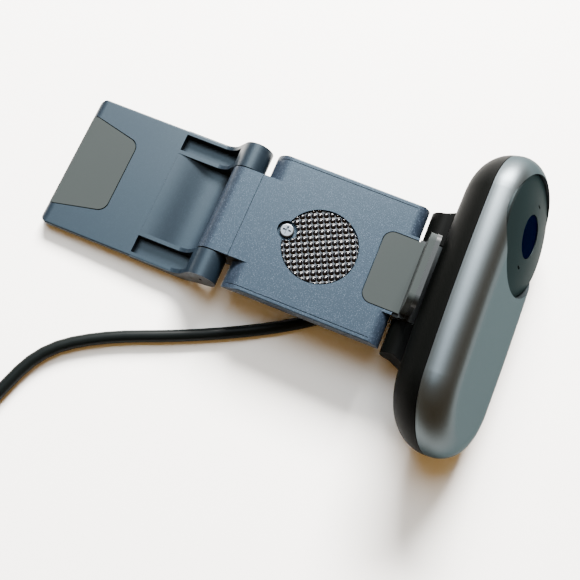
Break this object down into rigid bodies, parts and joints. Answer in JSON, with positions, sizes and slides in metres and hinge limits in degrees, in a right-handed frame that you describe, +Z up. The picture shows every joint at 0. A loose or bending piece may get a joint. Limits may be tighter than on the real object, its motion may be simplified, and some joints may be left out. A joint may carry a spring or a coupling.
{
  "type": "webcam with folding monitor clip",
  "caption": "Oblong USB webcam on a tilting neck, with a folding clip for the top of a monitor and a coiled cord ending in a USB-A plug.",
  "frame": {"origin": "on the table, under the middle of the webcam's own box (cord, coil and plug left out)", "axes": "+Z up from the table, +X along the clip from its rear arm towards the head, +Y across the clip, along the head"},
  "size_m": [0.1643, 0.1359, 0.03],
  "materials": {
    "base_plastic": "fine textured, faint blue-grey",
    "arm_plastic": "fine textured",
    "pad_rubber": "matte",
    "label_plastic": "glossy with a fine grid",
    "front_plastic": "satin graphite",
    "back_plastic": "matte black",
    "eye_plastic": "matte warm grey",
    "window_glass": "coated",
    "lens_glass": "coated",
    "filter_glass": "tinted",
    "steel": "plain",
    "screw_black": "black oxide",
    "board_green": "solder mask",
    "chip_black": "moulded epoxy",
    "clear_plastic": "clear, frosted",
    "washer_nylon": "natural nylon",
    "cord_jacket": "satin black",
    "plug_plastic": "satin black",
    "plug_steel": "plated",
    "plug_insert": "white",
    "gold": "gold plated",
    "wire_jacket": "coloured jackets"
  },
  "bodies": {
    "clip_base": {"base_shell": "base_plastic", "base_cover": "base_plastic", "label_seat": "label_plastic", "cover_screw": "screw_black", "front_pad": "pad_rubber", "lip_bracket": "base_plastic", "lip_pad": "pad_rubber", "bracket_screws": "screw_black", "tilt_washers": "washer_nylon", "hinge_washers": "washer_nylon", "usb_cord": "cord_jacket", "cord_coil": "cord_jacket", "cord_tail": "cord_jacket", "cord_tie": "chip_black", "plug_strain_relief": "cord_jacket", "plug_overmould": "plug_plastic", "plug_shell": "plug_steel", "plug_tongue": "plug_insert", "plug_contacts": "gold"},
    "arm": {"rear_arm": "arm_plastic", "rear_pad": "pad_rubber", "hinge_pin": "steel", "hinge_caps": "arm_plastic"},
    "head": {"tilt_neck": "back_plastic", "tilt_pin": "steel", "front_shell": "front_plastic", "rear_shell": "back_plastic", "neck_screws": "screw_black", "lens_dish": "eye_plastic", "lens_window": "window_glass", "lens_barrel": "chip_black", "lens_front_element": "lens_glass", "lens_rear_element": "lens_glass", "lens_holder": "chip_black", "ir_filter": "filter_glass", "image_sensor": "chip_black", "main_board": "board_green", "board_screws": "screw_black", "board_chips": "chip_black", "activity_led": "clear_plastic", "light_pipe": "clear_plastic", "microphone": "steel", "mic_boot": "pad_rubber", "cable_connector": "plug_insert", "cable_gland": "cord_jacket", "inner_wires": "wire_jacket"}
  },
  "joints": [
    {"name": "arm_fold", "type": "hinge", "parent": "clip_base", "child": "arm", "pos_m": [-0.0149, 0, 0.00845], "axis": [0, 1, 0], "range_deg": [0, 178]},
    {"name": "head_tilt", "type": "hinge", "parent": "clip_base", "child": "head", "pos_m": [0.03338, 0, 0.01001], "axis": [0, 1, 0], "range_deg": [0, 45], "deforming": ["usb_cord"]}
  ]
}
